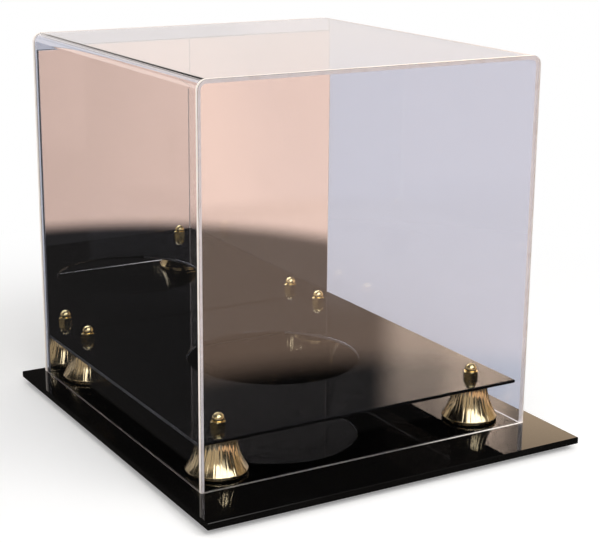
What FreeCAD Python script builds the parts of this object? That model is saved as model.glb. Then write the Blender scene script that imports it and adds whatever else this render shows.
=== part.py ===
import FreeCAD, Part

import os

import Sketcher
from FreeCAD import Placement, Rotation, Vector

# Free-standing acrylic display case: a black base plate, a black platform carried on four
# fluted gold-coloured risers, and a clear lift-off cover with a mirror on its inside back wall.
# Millimetres. Origin: middle of the base's footprint, on the table. +Z up, front towards -Y.

# Driving dimensions, each written once. Everything else follows from them.
SIZES = {
    # base plate, set out from the cover that stands on it
    "base_thickness": 5.0,
    "base_side_margin": 17.0,
    "base_front_margin": 42.5,
    "base_rear_margin": 6.5,
    # clear cover, outside sizes
    "cover_width": 267.0,
    "cover_depth": 283.0,
    "cover_height": 273.0,
    "cover_sheet": 3.0,
    "cover_bend_radius": 7.0,
    # mirror sheet taped to the inside of the cover's back wall
    "mirror_thickness": 3.0,
    "mirror_side_gap": 1.0,
    "mirror_top_gap": 10.0,
    "mirror_bottom_gap": 0.5,
    "tape_thickness": 0.5,
    "tape_width": 19.0,
    "tape_side_inset": 26.0,
    "tape_end_inset": 16.0,
    # platform inside the cover
    "platform_thickness": 2.5,
    "platform_side_gap": 0.8,
    "platform_front_gap": 5.6,
    "platform_rear_gap": 1.6,
    "seat_diameter": 130.0,
    # fluted riser under each corner of the platform
    "riser_height": 29.8,
    "riser_top_diameter": 25.0,
    "riser_rim_diameter": 41.4,
    "riser_rim_height": 2.8,
    "riser_rim_edge": 1.3,
    "riser_lip_round": 1.0,
    "riser_flare_radius": 45.0,
    "riser_wall": 2.0,
    "riser_roof": 3.0,
    "riser_foot_inset": 3.0,
    "riser_foot_height": 0.8,
    "riser_post_wall": 2.2,
    "riser_side_gap": 3.3,
    "riser_end_gap": 1.8,
    "flute_radius": 3.4,
    "flute_depth": 0.2,
    "flute_slide": 0.4,
    "flute_count": 26,
    # screw through base, riser and platform into a cap nut
    "screw_diameter": 5.0,
    "screw_clearance": 0.3,
    "screw_reach": 7.0,
    "screw_tip_gap": 0.8,
    "thread_gap": 0.1,
    "head_overhang": 2.25,
    "head_height": 3.0,
    "head_round": 1.4,
    "slot_width": 1.2,
    "slot_length": 5.0,
    "slot_depth": 1.6,
    "nut_flats": 10.0,
    "nut_hex_height": 4.4,
    "nut_height": 10.2,
    "nut_shoulder": 0.65,
    "nut_corner_drop": 0.7,
    # bumper foot, tall enough to hold the screw heads off the table
    "foot_diameter": 13.0,
    "foot_ground_gap": 1.5,
    "foot_round": 1.2,
    "foot_inset": 20.0,
    # small bevel on the polished sheet edges
    "edge_bevel": 0.4,
}

# Derived sizes, as expressions of the sheet.
BASE_WIDTH = "(Sizes.cover_width + 2 * Sizes.base_side_margin)"
BASE_DEPTH = "(Sizes.base_front_margin + Sizes.cover_depth + Sizes.base_rear_margin)"
INNER_WIDTH = "(Sizes.cover_width - 2 * Sizes.cover_sheet)"
INNER_DEPTH = "(Sizes.cover_depth - 2 * Sizes.cover_sheet)"
INNER_HEIGHT = "(Sizes.cover_height - Sizes.cover_sheet)"
MIRROR_STACK = "(Sizes.tape_thickness + Sizes.mirror_thickness)"
MIRROR_WIDTH = f"({INNER_WIDTH} - 2 * Sizes.mirror_side_gap)"
MIRROR_HEIGHT = f"({INNER_HEIGHT} - Sizes.mirror_top_gap - Sizes.mirror_bottom_gap)"
PLATFORM_WIDTH = f"({INNER_WIDTH} - 2 * Sizes.platform_side_gap)"
PLATFORM_DEPTH = f"({INNER_DEPTH} - {MIRROR_STACK} - Sizes.platform_front_gap - Sizes.platform_rear_gap)"
RISER_TOP_RADIUS = "(Sizes.riser_top_diameter / 2)"
RISER_RIM_RADIUS = "(Sizes.riser_rim_diameter / 2)"
HOLE_RADIUS = "(Sizes.screw_diameter / 2 + Sizes.screw_clearance)"
HEAD_RADIUS = "(Sizes.screw_diameter / 2 + Sizes.head_overhang)"
CLAMPED_HEIGHT = "(Sizes.base_thickness + Sizes.riser_height + Sizes.platform_thickness)"
DOME_RADIUS = "(Sizes.nut_flats / 2 - Sizes.nut_shoulder)"
NUT_CORNER_RADIUS = "(Sizes.nut_flats / sqrt(3))"
FOOT_HEIGHT = "(Sizes.head_height + Sizes.foot_ground_gap)"

# Heights and places in the assembled case.
BASE_TOP = f"({FOOT_HEIGHT} + Sizes.base_thickness)"
PLATFORM_BOTTOM = f"({BASE_TOP} + Sizes.riser_height)"
PLATFORM_TOP = f"({PLATFORM_BOTTOM} + Sizes.platform_thickness)"
COVER_FRONT = f"(Sizes.base_front_margin - {BASE_DEPTH} / 2)"
COVER_BACK = f"({COVER_FRONT} + Sizes.cover_depth)"
COVER_MIDDLE = f"({COVER_FRONT} + Sizes.cover_depth / 2)"
TAPE_BACK = f"({COVER_BACK} - Sizes.cover_sheet)"
MIRROR_BACK = f"({TAPE_BACK} - Sizes.tape_thickness)"
MIRROR_BOTTOM = f"({BASE_TOP} + Sizes.mirror_bottom_gap)"
PLATFORM_FRONT = f"({COVER_FRONT} + Sizes.cover_sheet + Sizes.platform_front_gap)"
PLATFORM_MIDDLE = f"({PLATFORM_FRONT} + {PLATFORM_DEPTH} / 2)"
FIXING_X = f"({PLATFORM_WIDTH} / 2 - {RISER_RIM_RADIUS} - Sizes.riser_side_gap)"
FIXING_Y = f"({PLATFORM_DEPTH} / 2 - {RISER_RIM_RADIUS} - Sizes.riser_end_gap)"
FOOT_X = f"({BASE_WIDTH} / 2 - Sizes.foot_inset)"
FOOT_Y = f"({BASE_DEPTH} / 2 - Sizes.foot_inset)"

# The four corners of the case, with the side that each lies on across X and along Y.
CORNERS = {
    "front_left": (-1, -1),
    "front_right": (1, -1),
    "rear_left": (-1, 1),
    "rear_right": (1, 1),
}

doc = FreeCAD.newDocument("DisplayCase")
sheet = doc.addObject("Spreadsheet::Sheet", "Sizes")
for row, (alias, number) in enumerate(SIZES.items(), 1):
    sheet.set(f"A{row}", str(number))
    sheet.setAlias(f"A{row}", alias)
doc.recompute()


def measure(expression):
    """Present value of an expression of the sheet."""
    return float(sheet.evalExpression(expression))


def bind(feature, **expressions):
    """Ties properties to expressions; a double underscore stands for a dot in a property's path."""
    for path, expression in expressions.items():
        feature.setExpression(path.replace("__", "."), expression)


def new_body(label, x="0", y="0", z="0"):
    """Empty sub-part with its place in the case."""
    body = doc.addObject("PartDesign::Body", label)
    body.Label = label
    bind(body, Placement__Base__x=x, Placement__Base__y=y, Placement__Base__z=z)
    return body


def origin_feature(body, role):
    """Origin plane or axis of a body, found by its role."""
    return next(feature for feature in body.Origin.OriginFeatures if feature.Role == role)


def add_block(body, name, width, depth, height, y="0", z="0", cut=False):
    """Box centred across X and Y on (0, y), standing on z."""
    kind = "PartDesign::SubtractiveBox" if cut else "PartDesign::AdditiveBox"
    block = body.newObject(kind, f"{body.Name}_{name}")
    bind(
        block,
        Length=width,
        Width=depth,
        Height=height,
        Placement__Base__x=f"-({width}) / 2",
        Placement__Base__y=f"{y} - ({depth}) / 2",
        Placement__Base__z=z,
    )
    return block


def add_round(body, name, radius, height, x="0", y="0", z="0", cut=False):
    """Upright cylinder standing on z."""
    kind = "PartDesign::SubtractiveCylinder" if cut else "PartDesign::AdditiveCylinder"
    cylinder = body.newObject(kind, f"{body.Name}_{name}")
    bind(
        cylinder,
        Radius=radius,
        Height=height,
        Placement__Base__x=x,
        Placement__Base__y=y,
        Placement__Base__z=z,
    )
    return cylinder


def lies_at(edge, axis, place):
    """True if the whole edge lies where the axis has this value."""
    low = getattr(edge.BoundBox, axis + "Min")
    high = getattr(edge.BoundBox, axis + "Max")
    return abs(low - place) < 1e-4 and abs(high - place) < 1e-4


def edge_names(feature, wanted):
    """Names of a feature's edges that pass a test."""
    doc.recompute()
    return [f"Edge{index}" for index, edge in enumerate(feature.Shape.Edges, 1) if wanted(edge)]


def round_edges(body, name, feature, radius, wanted):
    """Fillet on the edges that pass a test."""
    fillet = body.newObject("PartDesign::Fillet", f"{body.Name}_{name}")
    fillet.Base = (feature, edge_names(feature, wanted))
    bind(fillet, Radius=radius)
    return fillet


def bevel_edges(body, feature, wanted):
    """Polished-edge bevel on the edges that pass a test."""
    chamfer = body.newObject("PartDesign::Chamfer", f"{body.Name}_bevel")
    chamfer.Base = (feature, edge_names(feature, wanted))
    bind(chamfer, Size="Sizes.edge_bevel")
    return chamfer


def outline(body, name, corners, arcs=None):
    """Closed sketch on the XZ plane through corners (r, z), each coordinate an expression.

    arcs gives, for the number of a corner, the radius of the arc that leaves it instead of a
    straight side. The arc bows towards the axis.
    """
    arcs = arcs or {}
    sketch = body.newObject("Sketcher::SketchObject", f"{body.Name}_{name}")
    sketch.AttachmentSupport = [(origin_feature(body, "XZ_Plane"), "")]
    sketch.MapMode = "FlatFace"
    places = [Vector(measure(r), measure(z), 0) for r, z in corners]
    sides = []
    for index, (start, stop) in enumerate(zip(places, places[1:] + places[:1])):
        side = Part.LineSegment(start, stop)
        if index in arcs:
            radius = measure(arcs[index])
            chord = stop - start
            inward = Vector(-abs(chord.y), -abs(chord.x), 0).normalize()
            rise = radius - (radius**2 - chord.Length**2 / 4) ** 0.5
            side = Part.Arc(start, (start + stop) * 0.5 + inward * rise, stop)
        number = sketch.addGeometry(side, False)
        runs_forward = sketch.getPoint(number, 1).distanceToPoint(start) < 1e-6
        sides.append((number, 1, 2) if runs_forward else (number, 2, 1))
    for (number, _, last), (following, first, _) in zip(sides, sides[1:] + sides[:1]):
        sketch.addConstraint(Sketcher.Constraint("Coincident", number, last, following, first))
    for (number, first, _), (r, z), place in zip(sides, corners, places):
        for kind, axis, expression, start in (("DistanceX", -2, r, place.x), ("DistanceY", -1, z, place.y)):
            if expression == "0":
                sketch.addConstraint(Sketcher.Constraint("PointOnObject", number, first, axis))
            else:
                limit = sketch.addConstraint(Sketcher.Constraint(kind, -1, 1, number, first, start))
                sketch.setExpression(f"Constraints[{limit}]", expression)
    for index, radius in arcs.items():
        limit = sketch.addConstraint(Sketcher.Constraint("Radius", sides[index][0], measure(radius)))
        sketch.setExpression(f"Constraints[{limit}]", radius)
    return sketch


def turn(body, name, sketch, cut=False):
    """Full turn of a sketch about the body's upright axis."""
    kind = "PartDesign::Groove" if cut else "PartDesign::Revolution"
    feature = body.newObject(kind, f"{body.Name}_{name}")
    feature.Profile = sketch
    feature.ReferenceAxis = (sketch, ["V_Axis"])
    feature.Angle = 360
    doc.recompute()
    return feature


def drill_fixings(body, depth):
    """Four screw holes, set out from the body's own middle."""
    for corner, (across, along) in CORNERS.items():
        x = f"{across} * {FIXING_X}"
        y = f"{along} * {FIXING_Y}"
        add_round(body, f"hole_{corner}", HOLE_RADIUS, depth, x, y, cut=True)


def repeat_at_corners(kind, model, reach_x, reach_y, middle_y, z):
    """Models a piece at the first corner and copies it to the others."""
    first = None
    for corner, (across, along) in CORNERS.items():
        body = new_body(f"{kind}_{corner}", f"{across} * {reach_x}", f"{middle_y} + {along} * {reach_y}", z)
        if first is None:
            model(body)
            first = body
        else:
            copy = body.newObject("PartDesign::FeatureBase", f"{body.Name}_copy")
            copy.BaseFeature = first
            body.Tip = copy


def make_base():
    """Black sheet that carries everything, with its local middle under the platform's."""
    body = new_body("base_plate", y=PLATFORM_MIDDLE, z=FOOT_HEIGHT)
    plate = add_block(body, "sheet", BASE_WIDTH, BASE_DEPTH, "Sizes.base_thickness", y=f"-{PLATFORM_MIDDLE}")
    top = measure("Sizes.base_thickness")
    bevel_edges(body, plate, lambda edge: lies_at(edge, "Z", 0) or lies_at(edge, "Z", top))
    drill_fixings(body, "Sizes.base_thickness")


def make_platform():
    """Black sheet on the risers, with a round seat hole through its middle."""
    body = new_body("platform", y=PLATFORM_MIDDLE, z=PLATFORM_BOTTOM)
    add_block(body, "sheet", PLATFORM_WIDTH, PLATFORM_DEPTH, "Sizes.platform_thickness")
    seat = add_round(body, "seat", "Sizes.seat_diameter / 2", "Sizes.platform_thickness", cut=True)
    top = measure("Sizes.platform_thickness")
    bevel_edges(body, seat, lambda edge: lies_at(edge, "Z", 0) or lies_at(edge, "Z", top))
    drill_fixings(body, "Sizes.platform_thickness")


def model_riser(body):
    """Hollow fluted bell with a post down its middle for the screw."""
    foot_radius = f"({RISER_RIM_RADIUS} - Sizes.riser_foot_inset)"
    post_radius = f"({HOLE_RADIUS} + Sizes.riser_post_wall)"
    roof = "(Sizes.riser_height - Sizes.riser_roof)"
    corners = [
        (HOLE_RADIUS, "0"),
        (post_radius, "0"),
        (post_radius, roof),
        (f"{RISER_TOP_RADIUS} - Sizes.riser_wall", roof),
        (f"{foot_radius} - Sizes.riser_wall", "0"),
        (foot_radius, "0"),
        (foot_radius, "Sizes.riser_foot_height"),
        (RISER_RIM_RADIUS, "Sizes.riser_rim_height - Sizes.riser_rim_edge"),
        (RISER_RIM_RADIUS, "Sizes.riser_rim_height"),
        (RISER_TOP_RADIUS, "Sizes.riser_height"),
        (HOLE_RADIUS, "Sizes.riser_height"),
    ]
    flare_start = corners.index((RISER_RIM_RADIUS, "Sizes.riser_rim_height"))
    bell = turn(body, "bell", outline(body, "section", corners, {flare_start: "Sizes.riser_flare_radius"}))
    rim_radius = measure(RISER_RIM_RADIUS)

    def is_lip_edge(edge):
        return abs(edge.BoundBox.XMax - rim_radius) < 1e-4 and edge.BoundBox.ZLength < 1e-4

    round_edges(body, "lip", bell, "Sizes.riser_lip_round", is_lip_edge)

    # A flute is cut by a ring about the centre of the flare's arc. The ring is slid up along the
    # flare, so that the flute is deepest at the top and grows shallow towards the lip.
    run = f"({RISER_RIM_RADIUS} - {RISER_TOP_RADIUS})"
    drop = "(Sizes.riser_height - Sizes.riser_rim_height)"
    middle_radius = f"({RISER_RIM_RADIUS} + {RISER_TOP_RADIUS}) / 2"
    middle_height = "(Sizes.riser_rim_height + Sizes.riser_height) / 2"
    chord = f"sqrt({run}^2 + {drop}^2)"
    stand_off = f"sqrt(Sizes.riser_flare_radius^2 - ({run}^2 + {drop}^2) / 4)"
    flute = body.newObject("PartDesign::SubtractiveTorus", f"{body.Name}_flute")
    flute.Placement = Placement(Vector(), Rotation(Vector(1, 0, 0), 90))
    bind(
        flute,
        Radius1="Sizes.riser_flare_radius - Sizes.flute_radius + Sizes.flute_depth",
        Radius2="Sizes.flute_radius",
        Placement__Base__x=f"{middle_radius} + ({stand_off} * {drop} - Sizes.flute_slide * {run}) / {chord}",
        Placement__Base__z=f"{middle_height} + ({stand_off} * {run} + Sizes.flute_slide * {drop}) / {chord}",
    )
    flutes = body.newObject("PartDesign::PolarPattern", f"{body.Name}_flutes")
    flutes.Originals = [flute]
    flutes.Axis = (origin_feature(body, "Z_Axis"), [""])
    flutes.Angle = 360
    bind(flutes, Occurrences="Sizes.flute_count")
    body.Tip = flutes


def model_screw(body):
    """Round-headed cross-slot screw, its head's bearing face at the body's own zero."""
    head_bottom = "-Sizes.head_height"
    head = add_round(body, "head", HEAD_RADIUS, "Sizes.head_height", z=head_bottom)
    low = measure(head_bottom)
    round_edges(body, "round", head, "Sizes.head_round", lambda edge: lies_at(edge, "Z", low))
    add_round(body, "shank", "Sizes.screw_diameter / 2", f"{CLAMPED_HEIGHT} + Sizes.screw_reach")
    slot = {"z": head_bottom, "cut": True}
    add_block(body, "slot_across", "Sizes.slot_length", "Sizes.slot_width", "Sizes.slot_depth", **slot)
    add_block(body, "slot_along", "Sizes.slot_width", "Sizes.slot_length", "Sizes.slot_depth", **slot)


def model_cap_nut(body):
    """Hexagon nut with turned corners, a ball dome and a blind bore."""
    hexagon = body.newObject("PartDesign::AdditivePrism", f"{body.Name}_hexagon")
    hexagon.Polygon = 6
    bind(hexagon, Circumradius=NUT_CORNER_RADIUS, Height="Sizes.nut_hex_height")
    doc.recompute()
    corner_section = [
        ("Sizes.nut_flats / 2", "Sizes.nut_hex_height"),
        (NUT_CORNER_RADIUS, "Sizes.nut_hex_height - Sizes.nut_corner_drop"),
        (NUT_CORNER_RADIUS, "Sizes.nut_hex_height"),
    ]
    turn(body, "corners", outline(body, "corner_section", corner_section), cut=True)
    dome = body.newObject("PartDesign::AdditiveSphere", f"{body.Name}_dome")
    bind(dome, Radius=DOME_RADIUS, Placement__Base__z=f"Sizes.nut_height - {DOME_RADIUS}")
    bore_radius = "Sizes.screw_diameter / 2 + Sizes.thread_gap"
    add_round(body, "bore", bore_radius, "Sizes.screw_reach + Sizes.screw_tip_gap", cut=True)


def model_foot(body):
    """Soft bumper with a rounded tread."""
    pad = add_round(body, "pad", "Sizes.foot_diameter / 2", FOOT_HEIGHT)
    round_edges(body, "round", pad, "Sizes.foot_round", lambda edge: lies_at(edge, "Z", 0))


def is_top_edge(width, height):
    """Test for the two edges along Y where a box's top meets its sides."""
    half_width = measure(f"{width} / 2")
    top = measure(height)

    def wanted(edge):
        at_side = lies_at(edge, "X", half_width) or lies_at(edge, "X", -half_width)
        return at_side and lies_at(edge, "Z", top)

    return wanted


def make_cover_wrap():
    """One heat-bent sheet: left wall, top and right wall."""
    body = new_body("cover_wrap", y=COVER_MIDDLE, z=BASE_TOP)
    add_block(body, "outside", "Sizes.cover_width", INNER_DEPTH, "Sizes.cover_height")
    inside = add_block(body, "inside", INNER_WIDTH, INNER_DEPTH, INNER_HEIGHT, cut=True)
    outer_top = is_top_edge("Sizes.cover_width", "Sizes.cover_height")
    inner_top = is_top_edge(INNER_WIDTH, INNER_HEIGHT)
    bend = round_edges(body, "outer_bend", inside, "Sizes.cover_bend_radius", outer_top)
    round_edges(body, "inner_bend", bend, "Sizes.cover_bend_radius - Sizes.cover_sheet", inner_top)


def make_cover_end(label, middle, outward):
    """Flat end wall cemented on the wrap's edges, its top corners rounded like the bends."""
    body = new_body(label, y=middle, z=BASE_TOP)
    panel = add_block(body, "panel", "Sizes.cover_width", "Sizes.cover_sheet", "Sizes.cover_height")
    top_corner = is_top_edge("Sizes.cover_width", "Sizes.cover_height")
    rounded = round_edges(body, "corners", panel, "Sizes.cover_bend_radius", top_corner)
    face = outward * measure("Sizes.cover_sheet / 2")
    bevel_edges(body, rounded, lambda edge: lies_at(edge, "Y", face) and not lies_at(edge, "Z", 0))


def make_mirror():
    """Mirror sheet inside the back wall, and the two tape strips that hold it there."""
    body = new_body("mirror_panel", y=f"{MIRROR_BACK} - Sizes.mirror_thickness / 2", z=MIRROR_BOTTOM)
    panel = add_block(body, "sheet", MIRROR_WIDTH, "Sizes.mirror_thickness", MIRROR_HEIGHT)
    front = -measure("Sizes.mirror_thickness / 2")
    bevel_edges(body, panel, lambda edge: lies_at(edge, "Y", front))

    tape_x = f"({MIRROR_WIDTH} / 2 - Sizes.tape_side_inset - Sizes.tape_width / 2)"
    tape_length = f"({MIRROR_HEIGHT} - 2 * Sizes.tape_end_inset)"
    for side, across in (("left", -1), ("right", 1)):
        strip = new_body(
            f"mirror_tape_{side}",
            x=f"{across} * {tape_x}",
            y=f"{MIRROR_BACK} + Sizes.tape_thickness / 2",
            z=f"{MIRROR_BOTTOM} + Sizes.tape_end_inset",
        )
        add_block(strip, "strip", "Sizes.tape_width", "Sizes.tape_thickness", tape_length)


def check_and_write():
    """Stops at any failed feature or bad sub-part, then writes every sub-part's file."""
    doc.recompute()
    failed = [item.Name for item in doc.Objects if {"Invalid", "Error"} & set(item.State)]
    if failed:
        raise RuntimeError(f"failed features: {failed}")
    bodies = [item for item in doc.Objects if item.isDerivedFrom("PartDesign::Body")]
    for body in bodies:
        if body.Shape.isNull() or not body.Shape.isValid() or len(body.Shape.Solids) != 1:
            raise RuntimeError(f"bad shape: {body.Label}")
    os.makedirs("parts", exist_ok=True)
    for body in bodies:
        body.Shape.exportStep(f"parts/{body.Label}.step")
        print(f"{body.Label}: {body.Shape.Volume:.1f} mm3")


make_base()
make_platform()
repeat_at_corners("riser", model_riser, FIXING_X, FIXING_Y, PLATFORM_MIDDLE, BASE_TOP)
repeat_at_corners("screw", model_screw, FIXING_X, FIXING_Y, PLATFORM_MIDDLE, FOOT_HEIGHT)
repeat_at_corners("cap_nut", model_cap_nut, FIXING_X, FIXING_Y, PLATFORM_MIDDLE, PLATFORM_TOP)
repeat_at_corners("foot", model_foot, FOOT_X, FOOT_Y, "0", "0")
make_cover_wrap()
make_cover_end("cover_front", f"{COVER_FRONT} + Sizes.cover_sheet / 2", outward=-1)
make_cover_end("cover_back", f"{COVER_BACK} - Sizes.cover_sheet / 2", outward=1)
make_mirror()
check_and_write()
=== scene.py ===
"""Looks of a clear acrylic display case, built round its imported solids."""

import logging
import math
from collections.abc import Callable
from dataclasses import dataclass, replace
from enum import Enum

import bmesh
import bpy
from mathutils import Matrix, Vector


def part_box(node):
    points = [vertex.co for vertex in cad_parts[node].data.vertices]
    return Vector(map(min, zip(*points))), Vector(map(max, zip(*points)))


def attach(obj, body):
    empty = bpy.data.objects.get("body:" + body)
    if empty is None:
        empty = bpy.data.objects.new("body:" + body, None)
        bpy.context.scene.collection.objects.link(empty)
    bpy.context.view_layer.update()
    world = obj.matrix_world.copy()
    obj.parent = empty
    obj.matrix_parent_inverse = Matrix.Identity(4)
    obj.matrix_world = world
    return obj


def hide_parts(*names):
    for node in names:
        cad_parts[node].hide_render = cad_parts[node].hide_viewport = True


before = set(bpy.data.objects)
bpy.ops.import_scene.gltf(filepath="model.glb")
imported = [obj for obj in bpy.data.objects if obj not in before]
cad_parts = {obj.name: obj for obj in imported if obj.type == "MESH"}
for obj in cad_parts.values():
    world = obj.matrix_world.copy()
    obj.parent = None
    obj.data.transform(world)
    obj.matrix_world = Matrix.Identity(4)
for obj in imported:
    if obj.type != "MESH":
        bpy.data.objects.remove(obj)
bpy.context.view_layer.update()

LOG = logging.getLogger("display_case")
PICTURE_SIZE = (600, 543)

Colour = tuple[float, float, float]
Point = tuple[float, float, float]
Span = tuple[float, float]
Ends = tuple[float, float, float, float]
Tree = bpy.types.NodeTree
Node = bpy.types.Node
Socket = bpy.types.NodeSocket
Piece = bpy.types.Object

BLACK: Colour = (0.0, 0.0, 0.0)
WHITE: Colour = (1.0, 1.0, 1.0)

# Shares of a face's normal along an axis: square to it, turned towards it, and edge-on to it
SQUARE = 0.9
TURNED = 0.6
EDGE_ON = 0.2

TOUCHING = 1e-5
SMOOTH_ANGLE = math.radians(32)
FULL_WEIGHT = 100
ROUND_PROFILE = 0.5


class Body(Enum):
    """Rigid bodies of the case."""

    STAND = "stand"
    COVER = "cover"


class Slot(Enum):
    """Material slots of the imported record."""

    CLEAR = "clear_acrylic"
    MIRROR = "mirror_sheet"


class Corner(Enum):
    """Corners of the case that carry a riser, a screw, a cap nut and a foot."""

    FRONT_LEFT = "front_left"
    FRONT_RIGHT = "front_right"
    REAR_LEFT = "rear_left"
    REAR_RIGHT = "rear_right"


class Facing(Enum):
    """Front or back of the case."""

    FRONT = "front"
    BACK = "back"


class Side(Enum):
    """Left or right of the case."""

    LEFT = "left"
    RIGHT = "right"


class Element(Enum):
    """Kinds of mesh element that edit mode selects."""

    FACE = "FACE"
    EDGE = "EDGE"


class SheetFace(Enum):
    """Kinds of face on a sheet of the cover, numbered as its materials."""

    CLEAR = 0
    CUT = 1
    FOOT = 2


class Effect(Enum):
    """Marks that the finishes share, named as their node groups."""

    SMUDGES = "handling_smudges"
    HAIRLINES = "polishing_hairlines"
    SPECKS = "dust_specks"
    GRAIN = "fine_grain"


# Node trees


def add_node(tree: Tree, kind: str, inputs: dict | None = None, **settings: object) -> Node:
    """Adds a node, sets it up and feeds its inputs.

    Args:
        tree: Node tree that gets the node.
        kind: Blender's name of the node's type.
        inputs: Input name or number to a value, or to the socket that feeds it.
        **settings: Properties of the node.

    Returns:
        The new node.
    """
    node = tree.nodes.new(kind)
    for name, value in settings.items():
        setattr(node, name, value)
    for name, value in (inputs or {}).items():
        if isinstance(value, Socket):
            tree.links.new(value, node.inputs[name])
        else:
            node.inputs[name].default_value = value
    return node


def math_node(tree: Tree, operation: str, first: float | Socket, second: float | Socket = 0.0) -> Socket:
    """Adds a Math node.

    Args:
        tree: Node tree that gets the node.
        operation: The sum to do.
        first: First value or socket.
        second: Second value or socket.

    Returns:
        The socket with the result.
    """
    return add_node(tree, "ShaderNodeMath", {0: first, 1: second}, operation=operation).outputs[0]


def mix_colours(tree: Tree, mask: Socket, first: Colour | Socket, second: Colour | Socket) -> Socket:
    """Mixes two colours by a mask.

    Args:
        tree: Node tree that gets the node.
        mask: 0 gives the first colour and 1 the second.
        first: Colour or socket.
        second: Colour or socket.

    Returns:
        The socket with the mixed colour.
    """
    node = add_node(tree, "ShaderNodeMix", data_type="RGBA")
    tree.links.new(mask, node.inputs["Factor"])
    for name, value in (("A", first), ("B", second)):
        socket = next(s for s in node.inputs if s.name == name and s.type == "RGBA")
        if isinstance(value, Socket):
            tree.links.new(value, socket)
        else:
            socket.default_value = (*value, 1.0)
    return next(s for s in node.outputs if s.type == "RGBA")


def start_material(name: str) -> bpy.types.Material:
    """Adds a material with an empty node tree.

    Args:
        name: Name of the material.

    Returns:
        The new material.
    """
    material = bpy.data.materials.new(name)
    material.use_nodes = True
    material.node_tree.nodes.clear()
    return material


# Shared effects


def start_group(effect: Effect, inputs: dict[str, float], output: str) -> tuple[Tree, Node, Node]:
    """Starts an effect's node group with float sockets.

    Args:
        effect: Which effect.
        inputs: Input names with their usual values.
        output: Name of its one output.

    Returns:
        The group, its input node and its output node.
    """
    group = bpy.data.node_groups.new(effect.value, "ShaderNodeTree")
    for name, value in inputs.items():
        socket = group.interface.new_socket(name, in_out="INPUT", socket_type="NodeSocketFloat")
        socket.default_value = value
    group.interface.new_socket(output, in_out="OUTPUT", socket_type="NodeSocketFloat")
    return group, group.nodes.new("NodeGroupInput"), group.nodes.new("NodeGroupOutput")


def smudge_group() -> Tree:
    """Builds the group for soft handling marks.

    Returns:
        A group that puts out a mask, 1 in the middle of a mark.
    """
    group, source, result = start_group(Effect.SMUDGES, {"Scale": 12.0, "Spread": 0.5}, "Mask")
    place = add_node(group, "ShaderNodeTexCoord").outputs["Object"]
    look = {"Detail": 5.0, "Roughness": 0.62, "Distortion": 0.8}
    full_level = 0.78
    cloud = add_node(
        group, "ShaderNodeTexNoise", {"Vector": place, "Scale": source.outputs["Scale"], **look}
    )
    mask = add_node(
        group,
        "ShaderNodeMapRange",
        {"Value": cloud.outputs["Fac"], "From Min": source.outputs["Spread"], "From Max": full_level},
        interpolation_type="SMOOTHSTEP",
    )
    group.links.new(mask.outputs["Result"], result.inputs["Mask"])
    return group


def hairline_group() -> Tree:
    """Builds the group for fine polishing hairlines in two directions.

    Returns:
        A group that puts out a mask, 1 along each thin line.
    """
    group, source, result = start_group(Effect.HAIRLINES, {"Scale": 60.0, "Width": 0.012}, "Mask")
    place = add_node(group, "ShaderNodeTexCoord").outputs["Object"]
    line_level = 0.56
    lines = []
    for turn, stretch in ((0.5, (1.0, 0.03, 1.0)), (-1.1, (0.04, 1.0, 0.06))):
        mapped = add_node(
            group, "ShaderNodeMapping", {"Vector": place, "Rotation": (turn, turn, turn), "Scale": stretch}
        )
        cloud = add_node(
            group,
            "ShaderNodeTexNoise",
            {"Vector": mapped.outputs["Vector"], "Scale": source.outputs["Scale"], "Detail": 2.0},
        )
        offset = math_node(group, "ABSOLUTE", math_node(group, "SUBTRACT", cloud.outputs["Fac"], line_level))
        lines.append(math_node(group, "LESS_THAN", offset, source.outputs["Width"]))
    group.links.new(math_node(group, "MAXIMUM", *lines), result.inputs["Mask"])
    return group


def speck_group() -> Tree:
    """Builds the group for dust specks and pits.

    Returns:
        A group that puts out a mask, 1 on each speck.
    """
    group, source, result = start_group(Effect.SPECKS, {"Scale": 180.0, "Size": 0.1, "Share": 0.12}, "Mask")
    place = add_node(group, "ShaderNodeTexCoord").outputs["Object"]
    cells = add_node(group, "ShaderNodeTexVoronoi", {"Vector": place, "Scale": source.outputs["Scale"]})
    chance = add_node(group, "ShaderNodeSeparateColor", {"Color": cells.outputs["Color"]}).outputs[0]
    inside = math_node(group, "LESS_THAN", cells.outputs["Distance"], source.outputs["Size"])
    chosen = math_node(group, "LESS_THAN", chance, source.outputs["Share"])
    group.links.new(math_node(group, "MULTIPLY", inside, chosen), result.inputs["Mask"])
    return group


def grain_group() -> Tree:
    """Builds the group for fine surface grain, stretched along X, Y or Z.

    Returns:
        A group that puts out a height from 0 to 1.
    """
    inputs = {"Scale": 400.0, "Along X": 1.0, "Along Y": 1.0, "Along Z": 1.0}
    group, source, result = start_group(Effect.GRAIN, inputs, "Height")
    place = add_node(group, "ShaderNodeTexCoord").outputs["Object"]
    along = {axis: source.outputs[f"Along {axis}"] for axis in "XYZ"}
    stretch = add_node(group, "ShaderNodeCombineXYZ", along).outputs["Vector"]
    mapped = add_node(group, "ShaderNodeVectorMath", {0: place, 1: stretch}, operation="MULTIPLY")
    cloud = add_node(
        group,
        "ShaderNodeTexNoise",
        {"Vector": mapped.outputs["Vector"], "Scale": source.outputs["Scale"], "Detail": 3.0},
    )
    group.links.new(cloud.outputs["Fac"], result.inputs["Height"])
    return group


EFFECT_MAKERS: dict[Effect, Callable[[], Tree]] = {
    Effect.SMUDGES: smudge_group,
    Effect.HAIRLINES: hairline_group,
    Effect.SPECKS: speck_group,
    Effect.GRAIN: grain_group,
}


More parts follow.
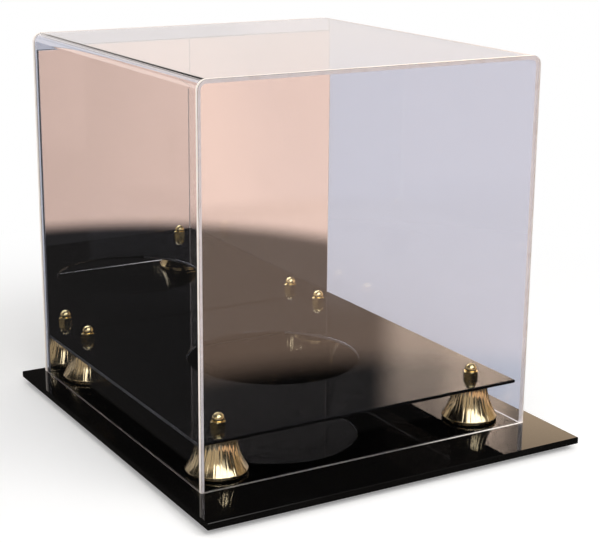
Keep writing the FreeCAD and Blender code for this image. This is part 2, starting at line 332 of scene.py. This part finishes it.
def place_effect(tree: Tree, effect: Effect, **values: float) -> Socket:
    """Places an effect's group in a material. The group is built at its first use.

    Args:
        tree: The material's node tree.
        effect: Which effect.
        **values: The group's inputs, with _ for a space.

    Returns:
        The group's output socket.
    """
    node = tree.nodes.new("ShaderNodeGroup")
    node.node_tree = bpy.data.node_groups.get(effect.value) or EFFECT_MAKERS[effect]()
    for name, value in values.items():
        node.inputs[name.replace("_", " ")].default_value = value
    return node.outputs[0]


# Finishes


@dataclass(frozen=True)
class Finish:
    """A surface finish: its colours, gloss and small marks.

    The marks' sizes are scales per metre; a zero amount leaves a mark out. The glow is painted light, an
    emission on a part that is no lamp, and it rises along X over its span. The painted side highlight
    lightens the faces that look left or right.
    """

    name: str
    colour: Colour
    mark_colour: Colour
    roughness: float
    mark_roughness: float
    metallic: float = 0.0
    transmission: float = 0.0
    ior: float = 1.49
    # glow is the strength of a painted glow: emission on a surface that is no lamp, standing in for light
    glow: float = 0.0
    painted_glow_span: Span | None = None
    painted_side_highlight: Colour | None = None
    smudge_scale: float = 14.0
    smudge_spread: float = 0.5
    hairline_scale: float = 70.0
    hairline_width: float = 0.006
    hairline_amount: float = 0.0
    speck_scale: float = 220.0
    speck_size: float = 0.1
    speck_share: float = 0.1
    speck_colour: Colour | None = None
    grain_scale: float = 500.0
    grain_stretch: Point = (1.0, 1.0, 1.0)
    grain_depth: float = 0.0

    def make(self) -> bpy.types.Material:
        """Builds the material, or finds it if it is built.

        Returns:
            The material.
        """
        found = bpy.data.materials.get(self.name)
        if found:
            return found
        material = start_material(self.name)
        tree = material.node_tree
        constants = {
            "Metallic": self.metallic,
            "Transmission Weight": self.transmission,
            "IOR": self.ior,
            "Emission Strength": self.glow,
        }
        shader = add_node(tree, "ShaderNodeBsdfPrincipled", constants)
        add_node(tree, "ShaderNodeOutputMaterial", {"Surface": shader.outputs["BSDF"]})
        smudge = place_effect(tree, Effect.SMUDGES, Scale=self.smudge_scale, Spread=self.smudge_spread)
        self._add_colour(tree, shader, smudge)
        self._add_gloss(tree, shader, smudge)
        return material

    def _add_colour(self, tree: Tree, shader: Node, smudge: Socket) -> None:
        """Feeds the base colour, which is plain, marked and specked, with a painted side highlight where set,
        and the colour of the painted glow.

        Args:
            tree: The material's node tree.
            shader: Its shader.
            smudge: Mask of the handling marks.
        """
        colour = mix_colours(tree, smudge, self.colour, self.mark_colour)
        if self.speck_colour:
            sizes = {"Scale": self.speck_scale, "Size": self.speck_size, "Share": self.speck_share}
            colour = mix_colours(tree, place_effect(tree, Effect.SPECKS, **sizes), colour, self.speck_colour)
        # Painted highlight: faces that look left or right get a lighter colour, standing in for an edge
        # highlight
        if self.painted_side_highlight:
            colour = mix_colours(tree, self._side_mask(tree), colour, self.painted_side_highlight)
        tree.links.new(colour, shader.inputs["Base Color"])
        # Painted light: the glow is masked so that it rises along X, brighter towards the lit right side
        if self.painted_glow_span:
            colour = mix_colours(tree, self._painted_glow_mask(tree), BLACK, colour)
        # Painted light: the emission makes the surface glow though it is no lamp
        if self.glow:
            tree.links.new(colour, shader.inputs["Emission Color"])

    @staticmethod
    def _side_mask(tree: Tree) -> Socket:
        """Masks the faces that look left or right.

        Args:
            tree: The material's node tree.

        Returns:
            The socket with the mask.
        """
        normal = add_node(tree, "ShaderNodeTexCoord").outputs["Normal"]
        across = add_node(tree, "ShaderNodeSeparateXYZ", {0: normal}).outputs["X"]
        return math_node(tree, "GREATER_THAN", math_node(tree, "ABSOLUTE", across), TURNED)

    def _painted_glow_mask(self, tree: Tree) -> Socket:
        """Masks the part of the piece that carries the painted glow.

        Args:
            tree: The material's node tree.

        Returns:
            The socket with the mask, which rises along X.
        """
        start, full = self.painted_glow_span
        place = add_node(tree, "ShaderNodeTexCoord").outputs["Object"]
        across = add_node(tree, "ShaderNodeSeparateXYZ", {0: place}).outputs["X"]
        rise = add_node(tree, "ShaderNodeMapRange", {"Value": across, "From Min": start, "From Max": full})
        return rise.outputs["Result"]

    def _add_gloss(self, tree: Tree, shader: Node, smudge: Socket) -> None:
        """Feeds the roughness and the normal.

        Args:
            tree: The material's node tree.
            shader: Its shader.
            smudge: Mask of the handling marks.
        """
        spread = math_node(tree, "MULTIPLY", smudge, self.mark_roughness - self.roughness)
        rough = math_node(tree, "ADD", spread, self.roughness)
        if self.hairline_amount:
            line = place_effect(tree, Effect.HAIRLINES, Scale=self.hairline_scale, Width=self.hairline_width)
            rough = math_node(tree, "ADD", rough, math_node(tree, "MULTIPLY", line, self.hairline_amount))
        tree.links.new(rough, shader.inputs["Roughness"])
        if self.grain_depth:
            along = dict(zip(("Along_X", "Along_Y", "Along_Z"), self.grain_stretch))
            height = place_effect(tree, Effect.GRAIN, Scale=self.grain_scale, **along)
            relief = {"Strength": 1.0, "Distance": self.grain_depth, "Height": height}
            bump = add_node(tree, "ShaderNodeBump", relief)
            tree.links.new(bump.outputs["Normal"], shader.inputs["Normal"])


BLACK_GLOSS = Finish(
    name="black_gloss_acrylic",
    colour=(0.0035, 0.0032, 0.0031),
    mark_colour=(0.006, 0.0057, 0.0055),
    roughness=0.012,
    mark_roughness=0.05,
    hairline_amount=0.05,
    speck_colour=(0.05, 0.048, 0.045),
    speck_scale=420.0,
    speck_size=0.07,
    speck_share=0.03,
)
# Painted highlight: the platform's faces that look left or right are lighter, to show an edge highlight
PLATFORM_GLOSS_PAINTED_SIDES = replace(BLACK_GLOSS, name="black_gloss_platform_painted_sides", painted_side_highlight=(0.16, 0.155, 0.15))
CLEAR_SHEET = Finish(
    name="clear_acrylic_sheet",
    colour=(0.757, 0.776, 0.846),
    mark_colour=(0.747, 0.766, 0.836),
    roughness=0.0,
    mark_roughness=0.012,
    transmission=1.0,
    smudge_scale=9.0,
)
# The glow is painted light: a cream emission on the cut edges that stands in for light carried through the
# sheet
SAWN_EDGE_PAINTED_GLOW = Finish(
    name="clear_acrylic_sawn_edge_painted_glow",
    colour=(0.96, 0.88, 0.81),
    mark_colour=(0.85, 0.74, 0.66),
    roughness=0.28,
    mark_roughness=0.5,
    glow=0.3,
    smudge_scale=90.0,
    smudge_spread=0.42,
    grain_scale=900.0,
    grain_depth=0.00008,
)
# Painted shade and light: the feet of the walls are darker, and their painted glow rises along X towards the
# lit right side
SAWN_FOOT_PAINTED_LIGHT = replace(
    SAWN_EDGE_PAINTED_GLOW,
    name="clear_acrylic_sawn_foot_painted_light",
    colour=(0.58, 0.53, 0.48),
    mark_colour=(0.50, 0.44, 0.39),
    glow=1.8,
    painted_glow_span=(0.03, 0.10),
)
MIRROR_FACE = Finish(
    name="mirror_coat",
    colour=(0.93, 0.93, 0.93),
    mark_colour=(0.90, 0.90, 0.90),
    roughness=0.0,
    mark_roughness=0.03,
    metallic=1.0,
    smudge_scale=8.0,
    smudge_spread=0.55,
)
BACKING_PAINT = Finish(
    name="mirror_backing_paint",
    colour=(0.20, 0.20, 0.21),
    mark_colour=(0.26, 0.26, 0.26),
    roughness=0.5,
    mark_roughness=0.62,
    smudge_scale=40.0,
    grain_scale=900.0,
    grain_depth=0.0001,
)
GOLD_PLATE = Finish(
    name="gold_plating",
    colour=(0.87, 0.74, 0.45),
    mark_colour=(0.78, 0.62, 0.33),
    roughness=0.09,
    mark_roughness=0.18,
    metallic=1.0,
    smudge_scale=160.0,
    grain_scale=700.0,
    grain_depth=0.00004,
)
NUT_BRASS = Finish(
    name="cap_nut_brass",
    colour=(0.85, 0.68, 0.34),
    mark_colour=(0.68, 0.50, 0.22),
    roughness=0.14,
    mark_roughness=0.28,
    metallic=1.0,
    smudge_scale=260.0,
    grain_scale=900.0,
    grain_stretch=(1.0, 1.0, 8.0),
    grain_depth=0.00003,
)
ZINC_STEEL = Finish(
    name="zinc_plated_steel",
    colour=(0.56, 0.56, 0.57),
    mark_colour=(0.42, 0.43, 0.46),
    roughness=0.28,
    mark_roughness=0.45,
    metallic=1.0,
    smudge_scale=220.0,
    grain_scale=1200.0,
    grain_depth=0.00005,
)
BUMPER_RUBBER = Finish(
    name="bumper_rubber",
    colour=(0.018, 0.018, 0.018),
    mark_colour=(0.04, 0.039, 0.037),
    roughness=0.55,
    mark_roughness=0.75,
    smudge_scale=120.0,
    grain_scale=1500.0,
    grain_depth=0.0001,
)
FOAM_TAPE = Finish(
    name="foam_tape",
    colour=(0.80, 0.79, 0.76),
    mark_colour=(0.70, 0.69, 0.66),
    roughness=0.8,
    mark_roughness=0.9,
    speck_colour=(0.5, 0.49, 0.47),
    speck_scale=900.0,
    speck_size=0.3,
    speck_share=0.5,
    grain_scale=1200.0,
    grain_depth=0.0002,
)


def dress_node(name: str, finish: Finish) -> None:
    """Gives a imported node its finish.

    Args:
        name: The node.
        finish: What it gets.
    """
    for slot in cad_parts[name].material_slots:
        slot.material = finish.make()
    LOG.info("%s dressed with %s", name, finish.name)


# Modelling


def start_block(name: str, low: Vector, high: Vector) -> Piece:
    """Adds a cube, stretched to a box, with its place in its mesh.

    Args:
        name: Name of the piece.
        low: Lowest corner.
        high: Highest corner.

    Returns:
        The new object, selected and active.
    """
    bpy.ops.object.select_all(action="DESELECT")
    bpy.ops.mesh.primitive_cube_add(size=1.0, location=(low + high) / 2)
    block = bpy.context.active_object
    block.name = block.data.name = name
    block.scale = high - low
    bpy.ops.object.transform_apply(location=True, rotation=True, scale=True)
    return block


def choose(piece: Piece, kind: Element, wanted: Callable[..., bool]) -> None:
    """Selects the faces or edges that pass a test, in edit mode.

    Args:
        piece: The object in edit mode.
        kind: Which elements.
        wanted: The test.
    """
    bpy.ops.mesh.select_mode(type=kind.value)
    bpy.ops.mesh.select_all(action="DESELECT")
    mesh = bmesh.from_edit_mesh(piece.data)
    for element in mesh.faces if kind is Element.FACE else mesh.edges:
        if wanted(element):
            element.select_set(True)
    bmesh.update_edit_mesh(piece.data)


def near(first: float, second: float) -> bool:
    """True if two lengths are the same to a hundredth of a millimetre."""
    return abs(first - second) < TOUCHING


def is_top_corner(edge: bmesh.types.BMEdge, low: Vector, high: Vector) -> bool:
    """Tests for the two edges along Y where a box's top meets its sides.

    Args:
        edge: The edge.
        low: Lowest corner of the box.
        high: Highest corner of the box.

    Returns:
        True for such an edge.
    """
    middle = (edge.verts[0].co + edge.verts[1].co) / 2
    at_side = near(middle.x, low.x) or near(middle.x, high.x)
    return at_side and near(middle.z, high.z)


def finish_piece(piece: Piece, body: Body, node: str) -> None:
    """Shades a piece, puts it on its body and says what it stands for.

    Args:
        piece: The finished mesh.
        body: Body that it moves with.
        node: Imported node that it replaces.
    """
    bpy.ops.object.select_all(action="DESELECT")
    piece.select_set(True)
    bpy.context.view_layer.objects.active = piece
    bpy.ops.object.shade_smooth_by_angle(angle=SMOOTH_ANGLE)
    flats = piece.modifiers.new("flat_faces", "WEIGHTED_NORMAL")
    flats.mode = "FACE_AREA"
    flats.weight = FULL_WEIGHT
    flats.keep_sharp = True
    bpy.ops.object.modifier_apply(modifier=flats.name)
    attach(piece, body.value)
    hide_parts(node)
    LOG.info("%s made for %s, %d faces", piece.name, node, len(piece.data.polygons))


# Sub-assemblies


@dataclass
class Cover:
    """Clear lift-off cover: one bent sheet and two cemented end walls."""

    sheet: float = 0.003
    bend_radius: float = 0.007
    bend_steps: int = 16
    edge_bevel: float = 0.0004
    bevel_steps: int = 2
    seam_gap: float = 0.00003
    foot_height: float = 0.02
    wrap_node: str = "cover_wrap"

    def build(self) -> None:
        """Builds and dresses the three sheets."""
        self._dress(self._build_wrap(), self.wrap_node)
        for facing in Facing:
            node = f"cover_{facing.value}"
            self._dress(self._build_end(node, facing), node)

    def _build_wrap(self) -> Piece:
        """Bends the left wall, top and right wall from one sheet.

        Returns:
            The new mesh.
        """
        low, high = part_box(self.wrap_node)
        seam = Vector((0.0, self.seam_gap, 0.0))
        low, high = low + seam + Vector((0.0, 0.0, self.seam_gap)), high - seam
        wrap = start_block("wrap_sheet", low, high)
        bpy.ops.object.mode_set(mode="EDIT")
        choose(wrap, Element.FACE, lambda face: abs(face.normal.y) > SQUARE or face.normal.z < -SQUARE)
        bpy.ops.mesh.delete(type="FACE")
        choose(wrap, Element.EDGE, lambda edge: is_top_corner(edge, low, high))
        bpy.ops.mesh.bevel(offset=self.bend_radius, segments=self.bend_steps, profile=ROUND_PROFILE)
        bpy.ops.object.mode_set(mode="OBJECT")
        wall = wrap.modifiers.new("wall", "SOLIDIFY")
        wall.thickness = self.sheet
        wall.offset = -1.0
        wall.use_even_offset = True
        bpy.ops.object.modifier_apply(modifier=wall.name)
        return wrap

    def _build_end(self, node: str, facing: Facing) -> Piece:
        """Cuts a flat end wall with rounded top corners and a polished bevel.

        Args:
            node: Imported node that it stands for.
            facing: End of the cover that it closes.

        Returns:
            The new mesh.
        """
        low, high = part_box(node)
        low = low + Vector((0.0, 0.0, self.seam_gap))
        panel = start_block(f"{facing.value}_panel", low, high)
        outer = low.y if facing is Facing.FRONT else high.y
        bpy.ops.object.mode_set(mode="EDIT")
        choose(panel, Element.EDGE, lambda edge: is_top_corner(edge, low, high))
        bpy.ops.mesh.bevel(offset=self.bend_radius, segments=self.bend_steps, profile=ROUND_PROFILE)
        choose(panel, Element.EDGE, lambda edge: self._is_outer_rim(edge, outer, low.z))
        bpy.ops.mesh.bevel(offset=self.edge_bevel, segments=self.bevel_steps, profile=ROUND_PROFILE)
        bpy.ops.object.mode_set(mode="OBJECT")
        return panel

    @staticmethod
    def _is_outer_rim(edge: bmesh.types.BMEdge, outer: float, bottom: float) -> bool:
        """True for the edges of a panel's outer face, but not the one that stands on the base."""
        on_face = all(near(vert.co.y, outer) for vert in edge.verts)
        return on_face and not all(near(vert.co.z, bottom) for vert in edge.verts)

    def _dress(self, piece: Piece, node: str) -> None:
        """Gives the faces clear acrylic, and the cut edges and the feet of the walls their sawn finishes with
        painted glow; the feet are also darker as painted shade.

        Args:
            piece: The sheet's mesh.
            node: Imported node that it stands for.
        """
        for finish in (CLEAR_SHEET, SAWN_EDGE_PAINTED_GLOW, SAWN_FOOT_PAINTED_LIGHT):
            piece.data.materials.append(finish.make())
        for face in piece.data.polygons:
            face.material_index = self._kind(face, node).value
        finish_piece(piece, Body.COVER, node)

    def _kind(self, face: bpy.types.MeshPolygon, node: str) -> SheetFace:
        """Tells a sheet's clear faces from the ones where the saw cut it.

        Args:
            face: The face.
            node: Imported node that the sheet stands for.

        Returns:
            The kind of face.
        """
        if face.normal.z < -SQUARE and face.center.z < self.foot_height:
            return SheetFace.FOOT
        endwise = abs(face.normal.y)
        is_cut = endwise > SQUARE if node == self.wrap_node else endwise < EDGE_ON
        return SheetFace.CUT if is_cut else SheetFace.CLEAR


@dataclass
class MirrorBack:
    """Mirror sheet taped to the inside of the cover's back wall."""

    edge_bevel: float = 0.0004
    bevel_steps: int = 2

    def build(self) -> None:
        """Builds the mirror and dresses it and its tape."""
        panel = self._build_panel()
        panel.data.materials.append(MIRROR_FACE.make())
        panel.data.materials.append(BACKING_PAINT.make())
        for face in panel.data.polygons:
            face.material_index = 0 if face.normal.y < -TURNED else 1
        finish_piece(panel, Body.COVER, "mirror_panel")
        for side in Side:
            dress_node(f"mirror_tape_{side.value}", FOAM_TAPE)

    def _build_panel(self) -> Piece:
        """Cuts the mirror sheet with a bevel round its face.

        Returns:
            The new mesh.
        """
        low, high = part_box("mirror_panel")
        panel = start_block("mirror_sheet", low, high)
        bpy.ops.object.mode_set(mode="EDIT")
        choose(panel, Element.EDGE, lambda edge: all(near(vert.co.y, low.y) for vert in edge.verts))
        bpy.ops.mesh.bevel(offset=self.edge_bevel, segments=self.bevel_steps, profile=ROUND_PROFILE)
        bpy.ops.object.mode_set(mode="OBJECT")
        return panel


@dataclass
class Stand:
    """Base plate on feet, and the platform on its risers."""

    base: Finish = BLACK_GLOSS
    platform: Finish = PLATFORM_GLOSS_PAINTED_SIDES
    riser: Finish = GOLD_PLATE
    cap_nut: Finish = NUT_BRASS
    screw: Finish = ZINC_STEEL
    foot: Finish = BUMPER_RUBBER

    def build(self) -> None:
        """Dresses the stand's nodes."""
        dress_node("base_plate", self.base)
        dress_node("platform", self.platform)
        for corner in Corner:
            dress_node(f"riser_{corner.value}", self.riser)
            dress_node(f"cap_nut_{corner.value}", self.cap_nut)
            dress_node(f"screw_{corner.value}", self.screw)
            dress_node(f"foot_{corner.value}", self.foot)


@dataclass(frozen=True)
class Patch:
    """A soft-edged patch of the surroundings that metal and gloss reflect.

    The bearings are degrees to the right of the side that it faces, and the heights are sines of the angle
    above level: where the patch starts, is full, ends being full, and ends.
    """

    name: str
    colour: Colour
    facing: Facing
    bearings: Ends
    heights: Ends


PALE_WALL: Colour = (1.0, 0.93, 0.88)
BRIGHT_BOX: Colour = (5.0, 4.95, 4.8)
PATCHES = (
    Patch("horizon", PALE_WALL, Facing.BACK, (-75, -60, 75, 90), (-3.0, -2.0, 0.24, 0.30)),
    Patch("ceiling", PALE_WALL, Facing.BACK, (-45, -35, 60, 75), (0.44, 0.50, 2.0, 3.0)),
    Patch("back_wall", PALE_WALL, Facing.BACK, (-16, -11, 11, 17), (-3.0, -2.0, 2.0, 3.0)),
    Patch("left_card", (0.95, 0.82, 0.66), Facing.FRONT, (-100, -85, -20, -10), (-3.0, -2.0, 0.45, 0.62)),
    Patch("right_card", (0.80, 0.58, 0.34), Facing.FRONT, (50, 60, 95, 105), (-3.0, -2.0, 0.45, 0.62)),
    Patch("warm_panel", (3.1, 2.33, 1.60), Facing.BACK, (33.2, 34.8, 65, 85), (0.15, 0.24, 0.28, 0.46)),
    Patch("inner_panel", (4.5, 3.30, 2.20), Facing.BACK, (35.6, 37.2, 38.2, 39.2), (0.15, 0.24, 0.345, 0.40)),
    Patch("lower_softbox", (2.0, 1.98, 1.92), Facing.FRONT, (-20, -10, 6, 18), (0.16, 0.50, 0.90, 0.97)),
    Patch("left_softbox", BRIGHT_BOX, Facing.FRONT, (-52, -38, -14, -8), (0.38, 0.46, 0.90, 0.97)),
    Patch("softbox", BRIGHT_BOX, Facing.FRONT, (-52, -38, 36, 50), (0.44, 0.56, 0.90, 0.97)),
)


@dataclass
class Studio:
    """White floor, soft light and the camera at the photograph's angle.

    Each span is where a fade starts and where it is full: distances from the middle of the floor, distances
    towards a side of it, or heights in the surroundings.
    """

    floor_half: float = 9.0
    floor_colour: Colour = (0.92, 0.92, 0.92)
    floor_roughness: float = 0.9
    floor_lift: float = 0.24
    white_span: Span = (0.25, 0.65)
    dim_side: Colour = (0.03, 0.028, 0.026)
    painted_shadow_span: Span = (0.31, 0.40)
    cool_floor: Colour = (0.40, 0.41, 0.46)
    cool_heading: Point = (0.0, -1.0, 0.0)
    cool_span: Span = (0.1, 0.4)
    warm_floor: Colour = (1.62, 1.12, 0.82)
    warm_heading: Point = (0.90, -0.435, 0.0)
    warm_span: Span = (0.0, 0.15)
    overhead: Colour = (0.25, 0.24, 0.23)
    overhead_span: Span = (0.5, 1.0)
    patches: tuple[Patch, ...] = PATCHES
    light_colour: Colour = (1.0, 0.985, 0.97)
    light_strength: float = 0.6
    lamp_place: Point = (0.14, -1.12, 1.16)
    lamp_target: Point = (0.0, 0.0, 0.1)
    lamp_size: Span = (1.5, 1.0)
    lamp_radiance: float = 3.0
    lamp_colour: Colour = (1.0, 0.99, 0.97)
    camera_place: Point = (-0.5409, -0.9440, 0.4144)
    camera_yaw: float = math.radians(30.38)
    camera_pitch: float = math.radians(15.44)
    camera_roll: float = math.radians(0.49)
    focal_pixels: float = 1504.0
    sensor_width: float = 36.0

    def build(self) -> None:
        """Builds the floor, the world, the lamp and the camera."""
        self._build_floor()
        self._build_world()
        self._build_lamp()
        self._build_camera()

    @staticmethod
    def _seen(tree: Tree) -> tuple[Socket, Socket]:
        """Adds the masks of the rays that show the background.

        Args:
            tree: Node tree of the floor or the world.

        Returns:
            A mask for what the camera, metal and glass see, and a mask for what only reflections see.
        """
        path = add_node(tree, "ShaderNodeLightPath")
        seen = math_node(tree, "MAXIMUM", path.outputs["Is Camera Ray"], path.outputs["Is Glossy Ray"])
        seen = math_node(tree, "MAXIMUM", seen, path.outputs["Is Transmission Ray"])
        reflected = math_node(tree, "GREATER_THAN", path.outputs["Glossy Depth"], 0.5)
        return seen, reflected

    @staticmethod
    def _towards(tree: Tree, place: Socket, heading: Point) -> Socket:
        """Measures how far a place or direction lies along a heading.

        Args:
            tree: Node tree that gets the node.
            place: Vector socket.
            heading: Direction that is measured.

        Returns:
            The socket with the length.
        """
        node = add_node(tree, "ShaderNodeVectorMath", {0: place, 1: heading}, operation="DOT_PRODUCT")
        return node.outputs["Value"]

    @staticmethod
    def _fade(tree: Tree, value: Socket, span: Span) -> Socket:
        """Fades smoothly from 0 at the start of a span to 1 at its end.

        Args:
            tree: Node tree that gets the node.
            value: Socket that is faded.
            span: Where the fade starts and where it is full.

        Returns:
            The socket with the mask.
        """
        start, full = span
        limits = {"Value": value, "From Min": start, "From Max": full}
        node = add_node(tree, "ShaderNodeMapRange", limits, interpolation_type="SMOOTHSTEP")
        return node.outputs["Result"]

    @staticmethod
    def _both(tree: Tree, first: Socket, second: Socket) -> Socket:
        """Mask of where two masks overlap."""
        return math_node(tree, "MULTIPLY", first, second)

    def _band(self, tree: Tree, value: Socket, ends: Ends) -> Socket:
        """Masks a band of values with soft ends.

        Args:
            tree: Node tree that gets the nodes.
            value: Socket with the angle or height.
            ends: Where the band starts, is full, ends being full, and ends.

        Returns:
            The socket with the mask.
        """
        start, full, full_end, end = ends
        rise = self._fade(tree, value, (start, full))
        return self._both(tree, rise, self._fade(tree, value, (end, full_end)))

    def _build_floor(self) -> None:
        """Lays the pale floor under the feet."""
        bpy.ops.object.select_all(action="DESELECT")
        bpy.ops.mesh.primitive_plane_add(size=2 * self.floor_half)
        floor = bpy.context.active_object
        floor.name = "studio_floor"
        floor.data.materials.append(self._floor_paper())

    def _floor_paper(self) -> bpy.types.Material:
        """Builds the floor's paper, which turns to white away from the case and is tinted in reflections.

        Returns:
            The material.
        """
        material = start_material("studio_floor_paper")
        tree = material.node_tree
        seen, reflected = self._seen(tree)
        place = add_node(tree, "ShaderNodeTexCoord").outputs["Object"]
        away = add_node(tree, "ShaderNodeVectorMath", {0: place}, operation="LENGTH").outputs["Value"]
        paper = add_node(
            tree,
            "ShaderNodeBsdfPrincipled",
            {
                "Base Color": (*self.floor_colour, 1.0),
                "Roughness": self.floor_roughness,
                "Specular IOR Level": 0.0,
            },
        )
        lift = math_node(tree, "MULTIPLY", seen, self.floor_lift)
        glow = add_node(tree, "ShaderNodeEmission", {"Strength": lift})
        lit_paper = add_node(tree, "ShaderNodeAddShader", {0: paper.outputs[0], 1: glow.outputs[0]})
        backdrop = add_node(tree, "ShaderNodeEmission", {"Strength": 1.0})
        distant = self._both(tree, seen, self._fade(tree, away, self.white_span))
        plain = self._mix_shaders(tree, distant, lit_paper, backdrop)
        tint = self._mirrored_floor(tree, place, away)
        mirrored = add_node(tree, "ShaderNodeEmission", {"Color": tint, "Strength": 1.0})
        shown = self._mix_shaders(tree, reflected, plain, mirrored)
        add_node(tree, "ShaderNodeOutputMaterial", {"Surface": shown.outputs[0]})
        return material

    def _mirrored_floor(self, tree: Tree, place: Socket, away: Socket) -> Socket:
        """Tints the floor that reflections show: a painted shadow, dim by the case, then cool in front and
        warm at the right.

        Args:
            tree: The floor's node tree.
            place: Socket with the place on the floor.
            away: Socket with the distance from the middle.

        Returns:
            The socket with the colour.
        """
        in_front = self._fade(tree, self._towards(tree, place, self.cool_heading), self.cool_span)
        tint = mix_colours(tree, in_front, self.dim_side, self.cool_floor)
        at_right = self._fade(tree, self._towards(tree, place, self.warm_heading), self.warm_span)
        tint = mix_colours(tree, at_right, tint, self.warm_floor)
        # Painted shadow: the floor that reflections show stays dim near the case
        return mix_colours(tree, self._fade(tree, away, self.painted_shadow_span), self.dim_side, tint)

    @staticmethod
    def _mix_shaders(tree: Tree, mask: Socket, first: Node, second: Node) -> Node:
        """Shows the second node's shader where the mask is 1, and the first one's elsewhere."""
        return add_node(tree, "ShaderNodeMixShader", {0: mask, 1: first.outputs[0], 2: second.outputs[0]})

    def _build_world(self) -> None:
        """Sets the white surroundings, with the soft patches that metal and gloss reflect."""
        world = bpy.data.worlds.new("studio_world")
        bpy.context.scene.world = world
        world.use_nodes = True
        tree = world.node_tree
        tree.nodes.clear()
        seen, reflected = self._seen(tree)
        tint = mix_colours(tree, reflected, WHITE, self._mirrored_room(tree))
        lighting = {"Color": (*self.light_colour, 1.0), "Strength": self.light_strength}
        light = add_node(tree, "ShaderNodeBackground", lighting)
        plain = add_node(tree, "ShaderNodeBackground", {"Color": tint, "Strength": 1.0})
        shown = self._mix_shaders(tree, seen, light, plain)
        add_node(tree, "ShaderNodeOutputWorld", {"Surface": shown.outputs[0]})

    def _mirrored_room(self, tree: Tree) -> Socket:
        """Tints the surroundings that reflections show: dim sides, a lighter ceiling and the patches.

        Args:
            tree: The world's node tree.

        Returns:
            The socket with the colour.
        """
        heading = add_node(tree, "ShaderNodeTexCoord").outputs["Generated"]
        rightward, backward, height = (
            self._towards(tree, heading, axis) for axis in ((1.0, 0.0, 0.0), (0.0, 1.0, 0.0), (0.0, 0.0, 1.0))
        )
        forward = math_node(tree, "MULTIPLY", backward, -1.0)
        bearings = {
            Facing.BACK: math_node(tree, "ARCTAN2", rightward, backward),
            Facing.FRONT: math_node(tree, "ARCTAN2", rightward, forward),
        }
        tint = mix_colours(tree, self._fade(tree, height, self.overhead_span), self.dim_side, self.overhead)
        for patch in self.patches:
            turns = tuple(math.radians(angle) for angle in patch.bearings)
            around = self._band(tree, bearings[patch.facing], turns)
            mask = self._both(tree, around, self._band(tree, height, patch.heights))
            tint = mix_colours(tree, mask, tint, patch.colour)
            tint.node.label = patch.name
        return tint

    def _build_lamp(self) -> None:
        """Hangs a wide soft lamp above the front, which lights the case but isn't seen."""
        lamp = bpy.data.lights.new("front_lamp", "AREA")
        lamp.shape = "RECTANGLE"
        lamp.size, lamp.size_y = self.lamp_size
        lamp.energy = self.lamp_radiance * math.pi * lamp.size * lamp.size_y
        lamp.color = self.lamp_colour
        softbox = bpy.data.objects.new("front_lamp", lamp)
        bpy.context.scene.collection.objects.link(softbox)
        softbox.location = self.lamp_place
        softbox.rotation_mode = "QUATERNION"
        aim = Vector(self.lamp_target) - softbox.location
        softbox.rotation_quaternion = aim.to_track_quat("-Z", "Y")
        softbox.visible_camera = False
        softbox.visible_glossy = False
        softbox.visible_transmission = False

    def _build_camera(self) -> None:
        """Sets the camera where the photograph was taken from."""
        data = bpy.data.cameras.new("photo_camera")
        data.sensor_width = self.sensor_width
        data.lens = self.focal_pixels * self.sensor_width / PICTURE_SIZE[0]
        camera = bpy.data.objects.new("photo_camera", data)
        bpy.context.scene.collection.objects.link(camera)
        ahead = Vector((
            math.sin(self.camera_yaw) * math.cos(self.camera_pitch),
            math.cos(self.camera_yaw) * math.cos(self.camera_pitch),
            -math.sin(self.camera_pitch),
        ))
        level = Vector((math.cos(self.camera_yaw), -math.sin(self.camera_yaw), 0.0))
        upright = level.cross(ahead)
        right = level * math.cos(self.camera_roll) + upright * math.sin(self.camera_roll)
        up = upright * math.cos(self.camera_roll) - level * math.sin(self.camera_roll)
        turn = Matrix((right, up, -ahead)).transposed().to_4x4()
        camera.matrix_world = Matrix.Translation(self.camera_place) @ turn
        bpy.context.scene.camera = camera
        bpy.context.scene.view_settings.view_transform = "Standard"


def main() -> None:
    """Builds every sub-assembly in order."""
    logging.basicConfig(level=logging.INFO, format="%(name)s: %(message)s")
    for part in (Stand(), Cover(), MirrorBack(), Studio()):
        part.build()
        LOG.info("%s built", type(part).__name__)


if __name__ == "__main__":
    main()
